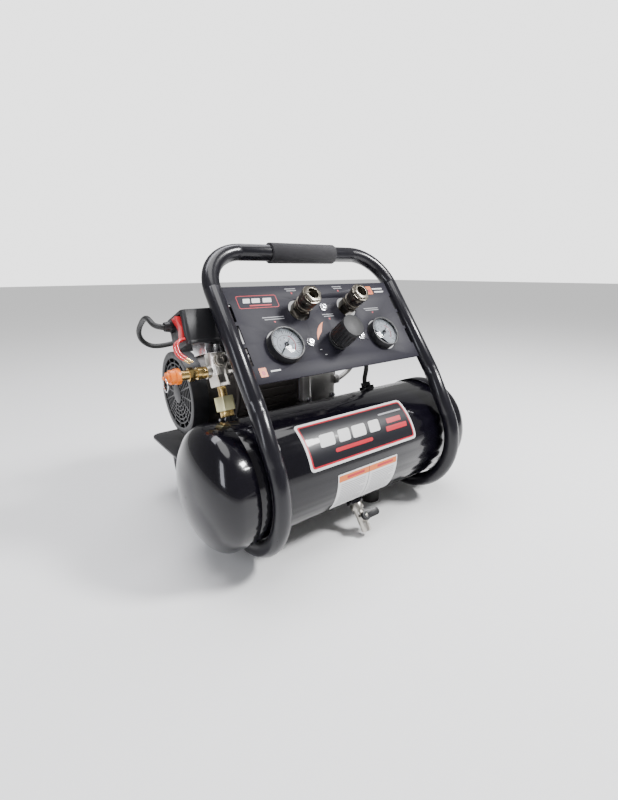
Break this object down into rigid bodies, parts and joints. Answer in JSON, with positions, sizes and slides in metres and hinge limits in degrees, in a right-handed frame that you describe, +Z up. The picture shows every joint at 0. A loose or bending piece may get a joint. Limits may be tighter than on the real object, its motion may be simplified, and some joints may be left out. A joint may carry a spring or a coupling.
{
  "type": "hot dog air compressor",
  "caption": "Small portable air compressor: a horizontal black tank held in two tube loops that rise into a foam-gripped handle, with a sloping gauge panel and a twin-head pump behind.",
  "frame": {"origin": "on the floor, at the middle of the outer box seen from above", "axes": "+X along the tank to the right seen from the gauge panel's side, +Y to the rear, towards the motor, +Z up"},
  "size_m": [0.425, 0.34, 0.3645],
  "materials": {
    "frame_paint": "gloss",
    "tank_paint": "high gloss",
    "deck_paint": "semi-gloss",
    "panel_paint": "satin texture",
    "motor_paint": "satin",
    "foam": "matt foam",
    "rubber": "matt",
    "black_plastic": "fine texture",
    "red_plastic": "gloss",
    "orange_plastic": "gloss",
    "dial": "matt",
    "needle": "matt",
    "lens": "clear",
    "zinc": "bright",
    "nickel": "satin",
    "yellow_zinc": "satin",
    "brass": "satin",
    "dark_steel": "satin",
    "steel": "machined",
    "cast": "cast",
    "copper": "enamelled windings",
    "hose": "matt",
    "braid": "braided"
  },
  "bodies": {
    "compressor": {"frame_tube": "frame_paint", "handle_grip": "foam", "tank_shell": "tank_paint", "tank_cap_left": "tank_paint", "tank_cap_right": "tank_paint", "tank_bungs": "tank_paint", "tank_foot": "rubber", "platform": "deck_paint", "rear_feet": "rubber", "motor_mounts": "rubber", "control_panel": "panel_paint", "panel_screws": "zinc", "gauge_left_case": "black_plastic", "gauge_left_dial": "dial", "gauge_left_lens": "lens", "gauge_right_case": "black_plastic", "gauge_right_dial": "dial", "gauge_right_lens": "lens", "regulator_body": "cast", "regulator_nut": "black_plastic", "outlet_manifold": "cast", "coupler_left_body": "dark_steel", "coupler_right_body": "dark_steel", "supply_hose": "hose", "switch_base": "black_plastic", "switch_cover": "black_plastic", "cable_glands": "black_plastic", "motor_cable": "hose", "manifold_block": "nickel", "switch_nut": "zinc", "port_plug": "nickel", "safety_valve_body": "brass", "riser_nipple": "brass", "union_nut": "yellow_zinc", "discharge_line": "braid", "drain_body": "nickel", "motor_shell": "motor_paint", "stator_core": "copper", "shaft_bearings": "steel", "crankcases": "motor_paint", "fan_covers": "black_plastic", "cylinders": "cast", "valve_plates": "steel", "cylinder_heads": "cast", "head_bolts": "zinc", "intake_filters": "black_plastic"},
    "regulator_knob": {"regulator_knob": "black_plastic"},
    "coupler_left_sleeve": {"coupler_left_sleeve": "dark_steel"},
    "coupler_right_sleeve": {"coupler_right_sleeve": "dark_steel"},
    "gauge_left_needle": {"gauge_left_needle": "needle"},
    "gauge_right_needle": {"gauge_right_needle": "needle"},
    "safety_valve_cap": {"safety_valve_cap": "orange_plastic"},
    "pull_ring": {"pull_ring": "zinc"},
    "power_rocker": {"power_rocker": "red_plastic"},
    "drain_handle": {"drain_handle": "black_plastic"},
    "rotor": {"rotor_shaft": "steel", "cooling_fans": "black_plastic", "eccentrics": "steel"},
    "piston_left": {"piston_left": "cast"},
    "piston_right": {"piston_right": "cast"}
  },
  "joints": [
    {"name": "regulator_turn", "type": "hinge", "parent": "compressor", "child": "regulator_knob", "pos_m": [0, -0.09349, 0.25762], "axis": [0, -0.7986, 0.6018], "range_deg": [-720, 720]},
    {"name": "coupler_left_slide", "type": "slide", "parent": "compressor", "child": "coupler_left_sleeve", "axis": [0, 0.7986, -0.6018], "range_m": [0, 0.005], "stiffness_N_per_m": 800, "springref_m": -0.003},
    {"name": "coupler_right_slide", "type": "slide", "parent": "compressor", "child": "coupler_right_sleeve", "axis": [0, 0.7986, -0.6018], "range_m": [0, 0.005], "stiffness_N_per_m": 800, "springref_m": -0.003},
    {"name": "tank_gauge", "type": "hinge", "parent": "compressor", "child": "gauge_left_needle", "pos_m": [-0.08, -0.08091, 0.24939], "axis": [0, 0.7986, -0.6018], "range_deg": [0, 270], "stiffness_Nm_per_rad": 0.002},
    {"name": "outlet_gauge", "type": "hinge", "parent": "compressor", "child": "gauge_right_needle", "pos_m": [0.08, -0.08091, 0.24939], "axis": [0, 0.7986, -0.6018], "range_deg": [0, 270], "stiffness_Nm_per_rad": 0.002},
    {"name": "safety_valve_pull", "type": "slide", "parent": "compressor", "child": "safety_valve_cap", "axis": [-1, 0, 0], "range_m": [0, 0.003], "stiffness_N_per_m": 1500, "springref_m": -0.002},
    {"name": "pull_ring_swing", "type": "hinge", "parent": "safety_valve_cap", "child": "pull_ring", "pos_m": [-0.2076, -0.03309, 0.21946], "axis": [0, 0.9397, -0.342], "range_deg": [-8, 90]},
    {"name": "power_switch", "type": "hinge", "parent": "compressor", "child": "power_rocker", "pos_m": [-0.1765, -0.02128, 0.26944], "axis": [0, 0.9397, -0.342], "range_deg": [0, 14]},
    {"name": "drain_turn", "type": "hinge", "parent": "compressor", "child": "drain_handle", "pos_m": [-0.005, -0.1433, 0.02938], "axis": [0, 0.788, -0.6157], "range_deg": [0, 90]},
    {"name": "shaft_spin", "type": "hinge", "parent": "compressor", "child": "rotor", "pos_m": [-0.031, 0.08895, 0.1658], "axis": [1, 0, 0], "continuous": true},
    {"name": "piston_left_slide", "type": "slide", "parent": "compressor", "child": "piston_left", "axis": [0, 1, 0], "range_m": [-0.005, 0.005]},
    {"name": "piston_right_slide", "type": "slide", "parent": "compressor", "child": "piston_right", "axis": [0, -1, 0], "range_m": [-0.005, 0.005]}
  ]
}
